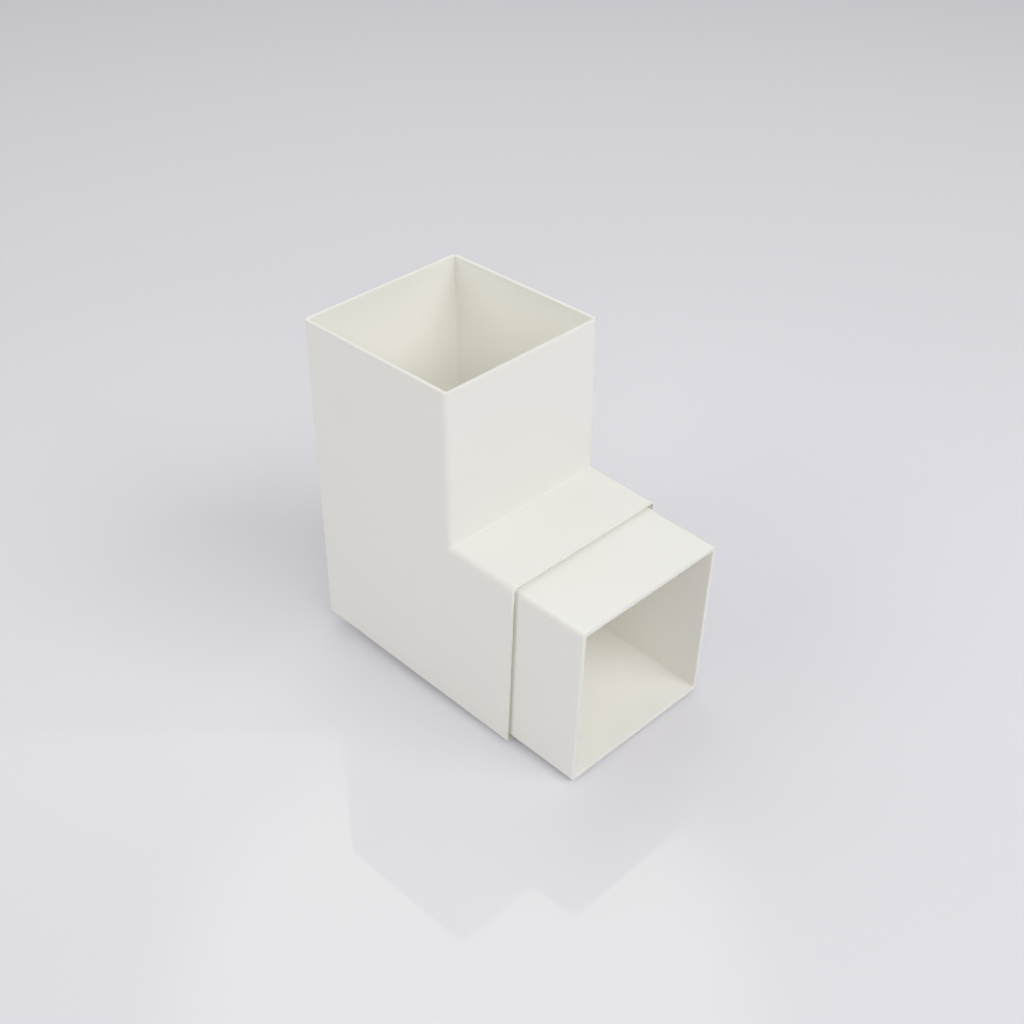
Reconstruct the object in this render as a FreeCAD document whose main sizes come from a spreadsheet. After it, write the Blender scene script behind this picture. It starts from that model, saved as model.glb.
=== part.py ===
import FreeCAD, Part
import math
import os
import Sketcher
from FreeCAD import Vector

# Square downspout elbow, moulded in one piece: an open socket at the top takes the pipe that comes
# down, the body turns the water through the bend, and a stepped-in spigot enters the next pipe.
# A narrow slot runs round the spigot's root, inside a thin skirt at the end of the body.
# It is drawn from the middle of the socket's mouth, and set down on its lowest edge at the end.

doc = FreeCAD.newDocument("downspout_elbow")

# Driving sizes in millimetres, with the bend in degrees
driving_sizes = [
    ("pipe_size", 65.0, "outer width of the square pipe, and so of the spigot"),
    ("pipe_clearance", 0.4, "gap on each side between the pipe and the socket"),
    ("socket_wall", 1.5, "wall round the socket"),
    ("spigot_wall", 1.8, "wall round the spigot"),
    ("bend_angle", 92.5, "angle between the socket's axis and the outlet's"),
    ("socket_depth", 55.8, "socket mouth to the ledge that stops the pipe"),
    ("ledge_drop", 1.7, "ledge to the level of the crease inside the bend"),
    ("outlet_run", 28.4, "crease inside the bend to the skirt's edge"),
    ("skirt_wall", 0.9, "thickness of the skirt round the slot"),
    ("slot_depth", 3.0, "skirt's edge to the floor of the slot"),
    ("spigot_length", 28.5, "skirt's edge to the spigot's mouth"),
    ("outer_corner", 2.2, "radius of the body's outer edges"),
    ("slot_corner", 1.3, "radius of the slot's outer edges"),
    ("spigot_corner", 1.8, "radius of the spigot's outer edges"),
    ("bore_corner", 0.5, "radius of the edges inside the socket and the waterway"),
    ("crease_round", 0.3, "radius of the crease inside the bend"),
    ("lip_round", 1.0, "radius of the lip that the water turns past"),
    ("skirt_round", 0.2, "radius of the skirt's outer edge"),
    ("rim_round", 0.3, "radius of the edges of both mouths"),
]
sizes = doc.addObject("Spreadsheet::Sheet", "sizes")
for row, (alias, value, meaning) in enumerate(driving_sizes, start=1):
    sizes.set(f"A{row}", meaning)
    sizes.set(f"B{row}", str(value))
    sizes.setAlias(f"B{row}", alias)
doc.recompute()

body = doc.addObject("PartDesign::Body", "elbow")
body.Label = "elbow"

# How a sketch numbers the two ends of a line, and its own origin
START, END = range(1, 3)
ORIGIN = (-1, START)

# Places closer than this are the same place
TOUCH = 1e-4

UP = Vector(0, 0, 1)
SIDEWAYS = Vector(0, 1, 0)


def size(alias):
    return float(sizes.get(alias))


def new_sketch(name, plane_role):
    """An empty sketch on one of the body's origin planes."""
    sketch = body.newObject("Sketcher::SketchObject", name)
    plane = next(item for item in body.Origin.OriginFeatures if item.Role == plane_role)
    sketch.AttachmentSupport = [(plane, "")]
    sketch.MapMode = "FlatFace"
    return sketch


def add_outline(sketch, corners):
    """Straight lines from corner to corner, joined end to end; gives the lines in order."""
    ends = corners[1:] + corners[:1]
    lines = [sketch.addGeometry(Part.LineSegment(start, end)) for start, end in zip(corners, ends)]
    for line, following in zip(lines, lines[1:] + lines[:1]):
        relate(sketch, "Coincident", line, END, following, START)
    return lines


def take_line(sketch, other, line):
    """A line of another sketch, brought into this one to measure from; gives its number here."""
    sketch.addExternal(other.Name, f"Edge{line + 1}")
    return -2 - len(sketch.ExternalGeometry)


def relate(sketch, kind, *elements):
    return sketch.addConstraint(Sketcher.Constraint(kind, *elements))


def centre(sketch, line):
    """Sets the line level, with its middle on the sketch's upright axis."""
    upright_axis = -2
    relate(sketch, "Symmetric", line, START, line, END, upright_axis)


def drive(sketch, name, formula, kind, *elements):
    """A named dimension that follows a formula in the sheet's sizes; elements end with its value."""
    index = relate(sketch, kind, *elements)
    sketch.renameConstraint(index, name)
    sketch.setExpression(f"Constraints.{name}", formula)


def measure(sketch, name, kind, *elements):
    """A named dimension that only reads what the sketch comes to; elements end with its value."""
    index = relate(sketch, kind, *elements)
    sketch.renameConstraint(index, name)
    sketch.setDriving(index, False)


def extrude(kind, name, sketch, length, side="Symmetric"):
    """A pad or pocket of the sketch, which has to add to the body or take from it."""
    volume_before = body.Shape.Volume if body.Tip else 0
    feature = body.newObject(f"PartDesign::{kind}", name)
    feature.Profile = sketch
    feature.SideType = side
    feature.setExpression("Length", length)
    sketch.Visibility = False
    doc.recompute()
    grows = body.Shape.Volume > volume_before
    if grows != (kind == "Pad"):
        raise RuntimeError(f"{name} points the wrong way")


def round_edges(name, radius, picks):
    """A fillet, with its radius from the sheet, on those edges of the body that the test picks."""
    base = body.Tip
    edges = [f"Edge{number}" for number, edge in enumerate(base.Shape.Edges, start=1) if picks(edge)]
    fillet = body.newObject("PartDesign::Fillet", name)
    fillet.Base = (base, edges)
    fillet.setExpression("Radius", f"sizes.{radius}")
    doc.recompute()


def middle(edge):
    return edge.valueAt((edge.FirstParameter + edge.LastParameter) / 2)


def in_plane(edge, point, normal):
    """Whether the edge's ends and middle lie in the plane through the point."""
    spots = [vertex.Point for vertex in edge.Vertexes] + [middle(edge)]
    return all(abs((spot - point).dot(normal)) < TOUCH for spot in spots)


def on_sides(edge, width):
    """Whether the edge lies in one of the two faces that close a form of this width."""
    return any(in_plane(edge, SIDEWAYS * side * width / 2, SIDEWAYS) for side in (-1, 1))


def stand(point):
    """The place in the body of a point of the side view, midway between the two sides."""
    return Vector(point.x, 0, point.y)


def passes(edge, point):
    """Whether the edge runs through this point of the side view."""
    return edge.distToShape(Part.Vertex(stand(point)))[0] < TOUCH


# Widths that follow from the pipe, and the outlet's directions in the side view
socket_bore = size("pipe_size") + 2 * size("pipe_clearance")
body_width = socket_bore + 2 * size("socket_wall")
step_in = size("pipe_clearance") + size("socket_wall")
slot_span = body_width - 2 * size("skirt_wall")
outlet_bore = size("pipe_size") - 2 * size("spigot_wall")
fall = math.radians(size("bend_angle") - 90)
along = Vector(math.cos(fall), -math.sin(fall), 0)
across = Vector(math.sin(fall), math.cos(fall), 0)


def meet_upright(point, x):
    """Where the outlet's direction, drawn through the point, meets the upright line at x."""
    return point + along * ((x - point.x) / along.x)


# Body: the bent square form, drawn from the side
throat_drop = size("socket_depth") + size("ledge_drop")
back_top = Vector(-body_width / 2, 0, 0)
front_top = Vector(body_width / 2, 0, 0)
crease = front_top - Vector(0, throat_drop, 0)
step_top = crease + along * size("outlet_run")
step_bottom = step_top - across * body_width
heel = meet_upright(step_bottom, back_top.x)

side_form = new_sketch("side_form", "XZ_Plane")
rim, front, roof, step, sole, back = add_outline(
    side_form, [back_top, front_top, crease, step_top, step_bottom, heel])
relate(side_form, "Horizontal", rim)
relate(side_form, "Symmetric", rim, START, rim, END, *ORIGIN)
relate(side_form, "Vertical", front)
relate(side_form, "Vertical", back)
relate(side_form, "Perpendicular", roof, step)
relate(side_form, "Parallel", roof, sole)
drive(side_form, "body_width", "sizes.pipe_size + 2 * (sizes.pipe_clearance + sizes.socket_wall)",
      "Distance", rim, body_width)
drive(side_form, "throat_drop", "sizes.socket_depth + sizes.ledge_drop", "Distance", front, throat_drop)
drive(side_form, "outlet_run", "sizes.outlet_run", "Distance", roof, size("outlet_run"))
drive(side_form, "leg_height", ".Constraints.body_width", "Distance", step, body_width)
drive(side_form, "bend", "sizes.bend_angle * 1 deg",
      "Angle", roof, START, front, END, math.radians(size("bend_angle")))
measure(side_form, "step_depth", "DistanceY", step, END, *ORIGIN, -step_bottom.y)
measure(side_form, "heel_depth", "Distance", back, -heel.y)
doc.recompute()
extrude("Pad", "bent_body", side_form, "side_form.Constraints.body_width")


def at_socket_mouth(edge):
    return in_plane(edge, Vector(), UP)


def at_skirt(edge):
    return in_plane(edge, stand(step_top), stand(along))


# Slot: a shallow square recess in the end of the body, which leaves the skirt standing round it
slot_reach = along * size("slot_depth")
slot_mouth_top = step_top - across * size("skirt_wall")
slot_mouth_bottom = slot_mouth_top - across * slot_span

slot_form = new_sketch("slot_form", "XZ_Plane")
step_line = take_line(slot_form, side_form, step)
slot_mouth, slot_sole, slot_floor, slot_roof = add_outline(slot_form, [
    slot_mouth_top,
    slot_mouth_bottom,
    slot_mouth_bottom - slot_reach,
    slot_mouth_top - slot_reach])
relate(slot_form, "PointOnObject", slot_mouth, START, step_line)
relate(slot_form, "PointOnObject", slot_mouth, END, step_line)
relate(slot_form, "Perpendicular", slot_sole, step_line)
relate(slot_form, "Perpendicular", slot_roof, step_line)
relate(slot_form, "Parallel", slot_floor, step_line)
drive(slot_form, "skirt_wall", "sizes.skirt_wall",
      "Distance", step_line, START, slot_mouth, START, size("skirt_wall"))
drive(slot_form, "slot_span",
      "sizes.pipe_size + 2 * (sizes.pipe_clearance + sizes.socket_wall - sizes.skirt_wall)",
      "Distance", slot_mouth, slot_span)
drive(slot_form, "slot_depth", "sizes.slot_depth", "Distance", slot_roof, size("slot_depth"))
doc.recompute()
extrude("Pocket", "slot", slot_form, "slot_form.Constraints.slot_span")


def at_slot_floor(edge):
    return in_plane(edge, stand(step_top - slot_reach), stand(along))


def along_slot(edge):
    """The slot's outer edges, from the skirt's edge to the slot's floor."""
    return on_sides(edge, slot_span) and not at_skirt(edge) and not at_slot_floor(edge)


def along_body(edge):
    """The body's outer edges, all but those round its two ends."""
    lengthwise = on_sides(edge, body_width) and not at_socket_mouth(edge) and not at_skirt(edge)
    return lengthwise or passes(edge, heel)


def outside_skirt(edge):
    """The skirt's edge on its outside, which ends further out than the slot goes."""
    spots = [vertex.Point - stand((step_top + step_bottom) / 2) for vertex in edge.Vertexes]
    reaches = [max(abs(spot.dot(SIDEWAYS)), abs(spot.dot(stand(across)))) for spot in spots]
    return at_skirt(edge) and min(reaches) > slot_span / 2 + TOUCH


round_edges("slot_rounding", "slot_corner", along_slot)
round_edges("crease_rounding", "crease_round", lambda edge: passes(edge, crease))
round_edges("body_rounding", "outer_corner", along_body)
round_edges("skirt_rounding", "skirt_round", outside_skirt)

# Spigot: a straight square length, stepped in evenly on its four sides, that starts on the slot's floor
root_top = step_top - across * step_in - slot_reach
root_bottom = root_top - across * size("pipe_size")
spigot_reach = size("slot_depth") + size("spigot_length")
mouth_top = root_top + along * spigot_reach
mouth_bottom = root_bottom + along * spigot_reach

spigot_form = new_sketch("spigot_form", "XZ_Plane")
floor_line = take_line(spigot_form, slot_form, slot_floor)
root, spigot_roof, mouth, spigot_sole = add_outline(
    spigot_form, [root_bottom, root_top, mouth_top, mouth_bottom])
relate(spigot_form, "PointOnObject", root, START, floor_line)
relate(spigot_form, "PointOnObject", root, END, floor_line)
relate(spigot_form, "Perpendicular", spigot_roof, floor_line)
relate(spigot_form, "Perpendicular", spigot_sole, floor_line)
relate(spigot_form, "Parallel", mouth, floor_line)
drive(spigot_form, "slot_width", "sizes.pipe_clearance + sizes.socket_wall - sizes.skirt_wall",
      "Distance", floor_line, END, root, END, step_in - size("skirt_wall"))
drive(spigot_form, "spigot_height", "sizes.pipe_size", "Distance", root, size("pipe_size"))
drive(spigot_form, "spigot_reach", "sizes.slot_depth + sizes.spigot_length",
      "Distance", spigot_roof, spigot_reach)
measure(spigot_form, "roof_reach", "DistanceX", *ORIGIN, mouth, START, mouth_top.x)
measure(spigot_form, "sole_reach", "DistanceX", *ORIGIN, mouth, END, mouth_bottom.x)
doc.recompute()
extrude("Pad", "spigot", spigot_form, "sizes.pipe_size")


def at_spigot_mouth(edge):
    return in_plane(edge, stand(mouth_top), stand(along))


def along_spigot(edge):
    """The spigot's outer edges, from the slot's floor to the mouth."""
    return on_sides(edge, size("pipe_size")) and not at_slot_floor(edge) and not at_spigot_mouth(edge)


round_edges("spigot_rounding", "spigot_corner", along_spigot)

# Socket: a square hole from the mouth down to the ledge that stops the pipe
half_bore = socket_bore / 2
socket_form = new_sketch("socket_form", "XY_Plane")
near, right, far, left = add_outline(socket_form, [
    Vector(-half_bore, -half_bore, 0),
    Vector(half_bore, -half_bore, 0),
    Vector(half_bore, half_bore, 0),
    Vector(-half_bore, half_bore, 0)])
relate(socket_form, "Horizontal", near)
relate(socket_form, "Vertical", right)
relate(socket_form, "Equal", near, right)
relate(socket_form, "Symmetric", near, START, far, START, *ORIGIN)
relate(socket_form, "Symmetric", right, START, left, START, *ORIGIN)
drive(socket_form, "socket_bore", "sizes.pipe_size + 2 * sizes.pipe_clearance",
      "Distance", near, socket_bore)
doc.recompute()
extrude("Pocket", "socket", socket_form, "sizes.socket_depth", side="One side")

# Waterway: one square bore from the ledge, round the bend and out through the spigot
lining = step_in + size("spigot_wall")
ledge_back = Vector(-outlet_bore / 2, -size("socket_depth"), 0)
ledge_front = Vector(outlet_bore / 2, -size("socket_depth"), 0)
lip = meet_upright(crease - across * lining, ledge_front.x)
exit_top = mouth_top - across * size("spigot_wall")
exit_bottom = exit_top - across * outlet_bore
basin = meet_upright(exit_bottom, ledge_back.x)

waterway_form = new_sketch("waterway_form", "XZ_Plane")
mouth_line = take_line(waterway_form, spigot_form, mouth)
ledge, way_front, way_roof, way_exit, way_floor, way_back = add_outline(
    waterway_form, [ledge_back, ledge_front, lip, exit_top, exit_bottom, basin])
centre(waterway_form, ledge)
relate(waterway_form, "Vertical", way_front)
relate(waterway_form, "Vertical", way_back)
relate(waterway_form, "Perpendicular", way_roof, mouth_line)
relate(waterway_form, "Perpendicular", way_floor, mouth_line)
relate(waterway_form, "PointOnObject", way_exit, START, mouth_line)
relate(waterway_form, "PointOnObject", way_exit, END, mouth_line)
drive(waterway_form, "outlet_bore", "sizes.pipe_size - 2 * sizes.spigot_wall",
      "Distance", way_exit, outlet_bore)
drive(waterway_form, "chamber_bore", ".Constraints.outlet_bore", "Distance", ledge, outlet_bore)
drive(waterway_form, "spigot_wall", "sizes.spigot_wall",
      "Distance", mouth_line, START, way_exit, START, size("spigot_wall"))
drive(waterway_form, "socket_depth", "sizes.socket_depth",
      "DistanceY", ledge, START, *ORIGIN, size("socket_depth"))
doc.recompute()
extrude("Pocket", "waterway", waterway_form, "waterway_form.Constraints.outlet_bore")


def at_ledge(edge):
    return in_plane(edge, stand(ledge_back), UP)


def in_socket_corner(edge):
    """The socket's four upright edges, from the mouth to the ledge."""
    spot = middle(edge)
    in_corner = all(abs(abs(offset) - half_bore) < TOUCH for offset in (spot.x, spot.y))
    return in_corner and not at_socket_mouth(edge) and not at_ledge(edge)


def along_waterway(edge):
    """The waterway's inner edges, all but those round its two ends."""
    lengthwise = on_sides(edge, outlet_bore) and not at_ledge(edge) and not at_spigot_mouth(edge)
    return lengthwise or passes(edge, basin)


round_edges("lip_rounding", "lip_round", lambda edge: passes(edge, lip))
round_edges("bore_rounding", "bore_corner", lambda edge: in_socket_corner(edge) or along_waterway(edge))

# Both mouths have their inner and outer edges eased
round_edges("rim_rounding", "rim_round", lambda edge: at_socket_mouth(edge) or at_spigot_mouth(edge))

# The elbow stands on its lowest edge, with the origin under the middle of its length
body.setExpression("Placement.Base.x", "(side_form.Constraints.body_width / 2"
                   " - max(spigot_form.Constraints.roof_reach; spigot_form.Constraints.sole_reach)) / 2")
body.setExpression("Placement.Base.z",
                   "max(side_form.Constraints.step_depth; side_form.Constraints.heel_depth)")
doc.recompute()

for item in doc.Objects:
    if "Invalid" in item.State or "Error" in item.State:
        raise RuntimeError(f"{item.Name} failed: {item.State}")
if body.Shape.isNull() or not body.Shape.isValid() or len(body.Shape.Solids) != 1:
    raise RuntimeError(f"{body.Label} is not one valid solid")

os.makedirs("parts", exist_ok=True)
body.Shape.exportStep(f"parts/{body.Label}.step")
print(f"{body.Label}: {body.Shape.Volume / 1000:.1f} cm3 of plastic")
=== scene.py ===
import bpy
import numpy as np
from mathutils import Matrix, Vector

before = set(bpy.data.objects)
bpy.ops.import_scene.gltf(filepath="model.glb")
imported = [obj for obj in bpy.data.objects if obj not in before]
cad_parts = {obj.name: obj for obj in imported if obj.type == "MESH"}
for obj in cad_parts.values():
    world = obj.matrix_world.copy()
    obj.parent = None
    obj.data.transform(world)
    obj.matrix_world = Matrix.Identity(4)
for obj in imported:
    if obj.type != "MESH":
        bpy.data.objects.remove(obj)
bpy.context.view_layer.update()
scene = bpy.context.scene
print("frame loaded: " + ", ".join(sorted(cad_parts)))


# small helpers for node trees and sheets
def addNode(tree, kind, **values):
    node = tree.nodes.new(kind)
    for name, value in values.items():
        setattr(node, name, value)
    return node


def join(tree, source, target):
    tree.links.new(source, target)


def freshMaterial(name):
    material = bpy.data.materials.new(name)
    material.use_nodes = True
    material.node_tree.nodes.clear()
    return material, material.node_tree


noiseMiddle = (0.3, 0.7)               # noise seldom leaves this range


def makePatches():
    # noise whose middle is stretched to run from low to high, shared by both finishes
    group = bpy.data.node_groups.new("patches", "ShaderNodeTree")
    group.interface.new_socket("Place", in_out="INPUT", socket_type="NodeSocketVector")
    for name in ("Scale", "Detail", "Roughness", "Low", "High"):
        group.interface.new_socket(name, in_out="INPUT", socket_type="NodeSocketFloat")
    group.interface.new_socket("Value", in_out="OUTPUT", socket_type="NodeSocketFloat")
    start = addNode(group, "NodeGroupInput")
    field = addNode(group, "ShaderNodeTexNoise", noise_dimensions="3D")
    join(group, start.outputs["Place"], field.inputs["Vector"])
    for name in ("Scale", "Detail", "Roughness"):
        join(group, start.outputs[name], field.inputs[name])
    stretch = addNode(group, "ShaderNodeMapRange", clamp=True)
    stretch.inputs["From Min"].default_value = noiseMiddle[0]
    stretch.inputs["From Max"].default_value = noiseMiddle[1]
    join(group, field.outputs["Fac"], stretch.inputs["Value"])
    join(group, start.outputs["Low"], stretch.inputs["To Min"])
    join(group, start.outputs["High"], stretch.inputs["To Max"])
    end = addNode(group, "NodeGroupOutput")
    join(group, stretch.outputs["Result"], end.inputs["Value"])
    return group


patches = makePatches()


def patchField(tree, place, size, detail, roughness=0.5, low=0.0, high=1.0):
    # patches about size metres across
    node = addNode(tree, "ShaderNodeGroup", node_tree=patches)
    join(tree, place, node.inputs["Place"])
    values = {"Scale": 1.0 / size, "Detail": detail, "Roughness": roughness, "Low": low, "High": high}
    for name, value in values.items():
        node.inputs[name].default_value = value
    return node.outputs["Value"]


def noiseHeight(tree, place, size, detail, roughness=0.5):
    # plain noise for a bump, its lumps about size metres across
    node = addNode(tree, "ShaderNodeTexNoise", noise_dimensions="3D")
    node.inputs["Scale"].default_value = 1.0 / size
    node.inputs["Detail"].default_value = detail
    node.inputs["Roughness"].default_value = roughness
    join(tree, place, node.inputs["Vector"])
    return node.outputs["Fac"]


def openness(tree, reach, samples=4):
    # 1 in the open, falling towards 0 where something comes nearer than reach; the mask for the floor's
    # painted contact shadow
    node = addNode(tree, "ShaderNodeAmbientOcclusion", samples=samples)
    node.inputs["Distance"].default_value = reach
    return node.outputs["AO"]


def blendColours(tree, share, first, second):
    # first where share is 0, second where it is 1; the colour sockets of a Mix node go by number
    node = addNode(tree, "ShaderNodeMix", data_type="RGBA")
    for socket, value in ((node.inputs[6], first), (node.inputs[7], second)):
        if isinstance(value, tuple):
            socket.default_value = (*value, 1.0)
        else:
            join(tree, value, socket)
    join(tree, share, node.inputs[0])
    return node.outputs[2]


def addBump(tree, height, depth, before=None):
    node = addNode(tree, "ShaderNodeBump")
    node.inputs["Strength"].default_value = 1.0
    node.inputs["Distance"].default_value = depth
    join(tree, height, node.inputs["Height"])
    if before is not None:
        join(tree, before, node.inputs["Normal"])
    return node.outputs["Normal"]


def layGrid(name, points, faceDown=False):
    # sheet of quads through a square grid of points
    count = len(points)
    rows, columns = np.meshgrid(np.arange(count - 1), np.arange(count - 1), indexing="ij")
    corner = rows * count + columns
    quads = np.stack((corner, corner + count, corner + count + 1, corner + 1), axis=-1).reshape(-1, 4)
    if faceDown:
        quads = quads[:, ::-1]
    mesh = bpy.data.meshes.new(name)
    mesh.from_pydata(points.reshape(-1, 3).tolist(), [], quads.tolist())
    mesh.update()
    sheet = bpy.data.objects.new(name, mesh)
    scene.collection.objects.link(sheet)
    return sheet


# milk-white moulded plastic with a satin skin
plastic = {
    "colour": (0.931, 0.915, 0.874),
    "warmer": (0.925, 0.906, 0.859),   # slow drift of tone across a wall
    "driftSize": 0.055,
    "speck": (0.911, 0.891, 0.848),    # fine mottling of the skin
    "speckSize": 0.0011,
    "speckShare": 0.35,
    "gloss": (0.36, 0.48),             # roughness, smoothest to dullest
    "glossSize": 0.018,
    "skinSize": 0.0005,                # moulded grain
    "skinDepth": 0.000006,
    "waveSize": 0.022,                 # shallow sinks in the walls
    "waveDepth": 0.00003,
    "refraction": 1.53,
}


def plasticFinish(spec):
    material, tree = freshMaterial("milkWhitePlastic")
    place = addNode(tree, "ShaderNodeTexCoord").outputs["Object"]
    drift = patchField(tree, place, spec["driftSize"], detail=2.0)
    specks = patchField(tree, place, spec["speckSize"], detail=4.0, roughness=0.6, high=spec["speckShare"])
    colour = blendColours(tree, drift, spec["colour"], spec["warmer"])
    colour = blendColours(tree, specks, colour, spec["speck"])
    smoothest, dullest = spec["gloss"]
    sheen = patchField(tree, place, spec["glossSize"], detail=3.0, low=smoothest, high=dullest)
    waves = addBump(tree, noiseHeight(tree, place, spec["waveSize"], detail=1.0), spec["waveDepth"])
    grain = noiseHeight(tree, place, spec["skinSize"], detail=3.0, roughness=0.6)
    skin = addBump(tree, grain, spec["skinDepth"], waves)
    shader = addNode(tree, "ShaderNodeBsdfPrincipled")
    shader.inputs["IOR"].default_value = spec["refraction"]
    join(tree, colour, shader.inputs["Base Color"])
    join(tree, sheen, shader.inputs["Roughness"])
    join(tree, skin, shader.inputs["Normal"])
    out = addNode(tree, "ShaderNodeOutputMaterial")
    join(tree, shader.outputs["BSDF"], out.inputs["Surface"])
    return material


milkWhite = plasticFinish(plastic)
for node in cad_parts.values():
    for slot in node.material_slots:
        slot.material = milkWhite
print("plastic finish on " + str(len(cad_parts)) + " node")


# pale polished floor
floor = {
    "halfWidth": 3.0,
    "cells": 24,
    "colour": (0.831, 0.818, 0.870),
    "paler": (0.841, 0.828, 0.878),
    "cloudSize": 0.5,
    "gloss": (0.004, 0.012),           # roughness, smoothest to dullest
    "glossSize": 0.15,
    "contactShadow": (0.704, 0.692, 0.737),  # painted contact shadow: darker where something almost touches it
    "contactShadowReach": 0.0035,
}


def floorSheet(spec):
    # flat sheet: x and y run evenly from minus to plus the half width, z stays 0
    steps = np.linspace(-spec["halfWidth"], spec["halfWidth"], spec["cells"] + 1)
    across, along = np.meshgrid(steps, steps, indexing="ij")
    return layGrid("floorSheet", np.stack((across, along, np.zeros_like(across)), axis=-1))


def floorFinish(spec):
    material, tree = freshMaterial("polishedFloor")
    place = addNode(tree, "ShaderNodeTexCoord").outputs["Object"]
    cloud = patchField(tree, place, spec["cloudSize"], detail=2.0)
    colour = blendColours(tree, cloud, spec["colour"], spec["paler"])
    # painted contact shadow: the floor colour darkens where the part comes within reach
    colour = blendColours(tree, openness(tree, spec["contactShadowReach"]), spec["contactShadow"], colour)
    smoothest, dullest = spec["gloss"]
    sheen = patchField(tree, place, spec["glossSize"], detail=3.0, low=smoothest, high=dullest)
    shader = addNode(tree, "ShaderNodeBsdfPrincipled")
    join(tree, colour, shader.inputs["Base Color"])
    join(tree, sheen, shader.inputs["Roughness"])
    out = addNode(tree, "ShaderNodeOutputMaterial")
    join(tree, shader.outputs["BSDF"], out.inputs["Surface"])
    return material


floorPiece = floorSheet(floor)
floorPiece.data.materials.append(floorFinish(floor))
print("floor laid")


# camera at the photo's angle
viewpoint = {
    "aim": (-0.02118, 0.02122, 0.04238),
    "azimuth": 44.803,
    "elevation": 35.524,
    "distance": 0.5506,
    "lens": 52.909,
    "sensor": 36.0,
    "sight": (0.01, 50.0),             # nearest and farthest that it sees
}


def setCamera(spec):
    turn, lift = np.radians((spec["azimuth"], spec["elevation"]))
    back = Vector((np.sin(turn) * np.cos(lift), -np.cos(turn) * np.cos(lift), np.sin(lift)))
    right = Vector((np.cos(turn), np.sin(turn), 0.0))
    up = back.cross(right)
    spot = Vector(spec["aim"]) + back * spec["distance"]
    data = bpy.data.cameras.new("photoView")
    data.lens = spec["lens"]
    data.sensor_width = spec["sensor"]
    data.clip_start, data.clip_end = spec["sight"]
    camera = bpy.data.objects.new("photoView", data)
    camera.matrix_world = Matrix((
        (right.x, up.x, back.x, spot.x),
        (right.y, up.y, back.y, spot.y),
        (right.z, up.z, back.z, spot.z),
        (0.0, 0.0, 0.0, 1.0),
    ))
    scene.collection.objects.link(camera)
    scene.camera = camera


setCamera(viewpoint)
print("camera set")


# soft studio light: a room that is pale above and dim low down, a glowing sheet and soft boxes
room = {
    "heights": (0.0, 0.25, 0.34, 0.45, 0.56, 0.75, 1.0),     # sine of the angle above the horizon
    "strengths": (0.07, 0.17, 0.25, 0.30, 0.76, 0.50, 0.0),
    "colour": (1.0, 1.013, 1.025),
    "backdrop": (0.62, 0.62, 0.65),                          # what shows past the floor's edge
    "bounces": 12,                                           # light goes to and fro inside the white walls
}
glowSheet = {
    "height": 1.20,
    "turn": viewpoint["azimuth"],               # its edges run across and along the view
    "across": (-1.00, 0.55),                    # metres
    "away": (0.20, 1.21),
    "cells": 72,
    "hotSpot": (-0.06, 0.74),
    "hotRadius": (0.27, 0.46),                  # full inside the first, gone at the second
    "hotStretch": 1.25,                         # longer away than across
    "hotGlow": 1.26,
    "restGlow": 0.40,
    "fadeAcross": (-0.25, 0.35),
    "fadeAway": (0.80, 1.10),
    "colour": (1.0, 1.0, 1.0),
    "mirrored": (1.0, 1.0, 0.60),               # warmer where the floor mirrors it
}
plainLight = (0.987, 1.0, 0.992)
warmLight = (0.987, 1.0, 0.94)
softBoxes = {
    "right": {"turn": 15.0, "lift": 41.0, "far": 2.6, "size": 1.6, "power": 21.9, "colour": plainLight},
    "rightLow": {"turn": 45.0, "lift": 20.0, "far": 2.6, "size": 1.2, "power": 1.4, "colour": plainLight},
    "front": {"turn": 324.0, "lift": 44.0, "far": 2.6, "size": 1.7, "power": 15.3, "colour": plainLight},
    "left": {"turn": 200.0, "lift": 40.0, "far": 5.2, "size": 4.0, "power": 19.8, "colour": warmLight},
    "leftLow": {"turn": 255.0, "lift": 24.0, "far": 5.2, "size": 3.4, "power": 55.0, "colour": warmLight},
}


def lightRoom(spec):
    world = bpy.data.worlds.new("paleRoom")
    world.use_nodes = True
    tree = world.node_tree
    tree.nodes.clear()
    around = addNode(tree, "ShaderNodeTexCoord").outputs["Generated"]
    upward = addNode(tree, "ShaderNodeSeparateXYZ")
    join(tree, around, upward.inputs["Vector"])
    ramp = addNode(tree, "ShaderNodeValToRGB")
    stops = ramp.color_ramp.elements
    while len(stops) < len(spec["heights"]):
        stops.new(1.0)
    for stop, height, strength in zip(stops, spec["heights"], spec["strengths"]):
        stop.position = height
        stop.color = (*(strength * part for part in spec["colour"]), 1.0)
    join(tree, upward.outputs["Z"], ramp.inputs["Fac"])
    shade = addNode(tree, "ShaderNodeBackground")
    seen = addNode(tree, "ShaderNodeLightPath").outputs["Is Camera Ray"]
    join(tree, blendColours(tree, seen, ramp.outputs["Color"], spec["backdrop"]), shade.inputs["Color"])
    out = addNode(tree, "ShaderNodeOutputWorld")
    join(tree, shade.outputs["Background"], out.inputs["Surface"])
    scene.world = world


def smoothStep(value, first, last):
    # 0 at first, 1 at last, with level ends
    share = np.clip((value - first) / (last - first), 0.0, 1.0)
    return share * share * (3.0 - 2.0 * share)


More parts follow.
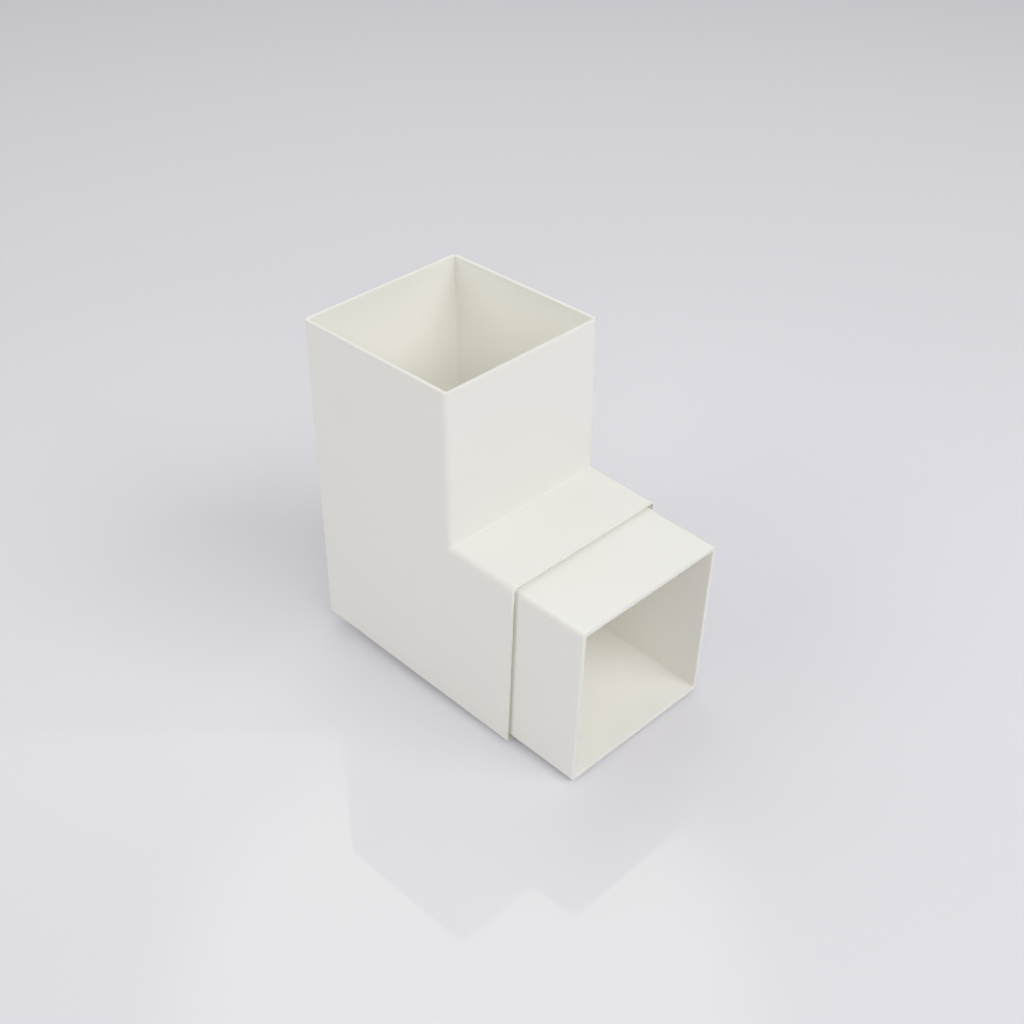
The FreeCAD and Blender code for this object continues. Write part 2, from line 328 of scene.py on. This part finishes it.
def glowFinish(spec):
    material, tree = freshMaterial("glow")
    mirrored = addNode(tree, "ShaderNodeLightPath").outputs["Is Glossy Ray"]
    strength = addNode(tree, "ShaderNodeAttribute", attribute_name="glow").outputs["Fac"]
    shine = addNode(tree, "ShaderNodeEmission")
    join(tree, blendColours(tree, mirrored, spec["colour"], spec["mirrored"]), shine.inputs["Color"])
    join(tree, strength, shine.inputs["Strength"])
    clear = addNode(tree, "ShaderNodeBsdfTransparent")
    both = addNode(tree, "ShaderNodeAddShader")
    join(tree, clear.outputs["BSDF"], both.inputs[0])
    join(tree, shine.outputs["Emission"], both.inputs[1])
    out = addNode(tree, "ShaderNodeOutputMaterial")
    join(tree, both.outputs["Shader"], out.inputs["Surface"])
    return material


def hangGlowSheet(spec):
    # level sheet: rows run evenly across the view and columns evenly away along it, at one height;
    # its glow is full in an oval hot spot, faint over the rest and fades smoothly between
    count = spec["cells"] + 1
    acrossSteps = np.linspace(*spec["across"], count)
    awaySteps = np.linspace(*spec["away"], count)
    across, away = np.meshgrid(acrossSteps, awaySteps, indexing="ij")
    turn = np.radians(spec["turn"])
    sheet = layGrid("glowSheet", np.stack((
        across * np.cos(turn) - away * np.sin(turn),
        across * np.sin(turn) + away * np.cos(turn),
        np.full_like(across, spec["height"]),
    ), axis=-1), faceDown=True)
    spotAcross, spotAway = spec["hotSpot"]
    fromSpot = np.hypot(across - spotAcross, (away - spotAway) / spec["hotStretch"])
    hot = 1.0 - smoothStep(fromSpot, *spec["hotRadius"])
    rest = (1.0 - smoothStep(across, *spec["fadeAcross"])) * smoothStep(away, *spec["fadeAway"])
    glow = spec["hotGlow"] * hot + spec["restGlow"] * rest * (1.0 - hot)
    values = sheet.data.attributes.new("glow", "FLOAT", "POINT")
    values.data.foreach_set("value", glow.ravel().astype(np.float32))
    sheet.data.materials.append(glowFinish(spec))
    return sheet


def hangSoftBox(name, spec):
    lamp = bpy.data.lights.new(name, "AREA")
    lamp.shape = "SQUARE"
    lamp.size = spec["size"]
    lamp.energy = spec["power"]
    lamp.color = spec["colour"]
    turn, lift = np.radians((spec["turn"], spec["lift"]))
    toLamp = Vector((np.cos(turn) * np.cos(lift), np.sin(turn) * np.cos(lift), np.sin(lift)))
    piece = bpy.data.objects.new(name, lamp)
    piece.location = toLamp * spec["far"]
    piece.rotation_euler = (-toLamp).to_track_quat("-Z", "Y").to_euler()
    piece.visible_camera = False
    piece.visible_glossy = False       # keeps its square out of the polished floor
    scene.collection.objects.link(piece)


lightRoom(room)
hangGlowSheet(glowSheet)
for name, spec in softBoxes.items():
    hangSoftBox(name, spec)
scene.view_settings.view_transform = "Standard"
scene.cycles.diffuse_bounces = room["bounces"]
print("lights hung: glowSheet, " + ", ".join(softBoxes))
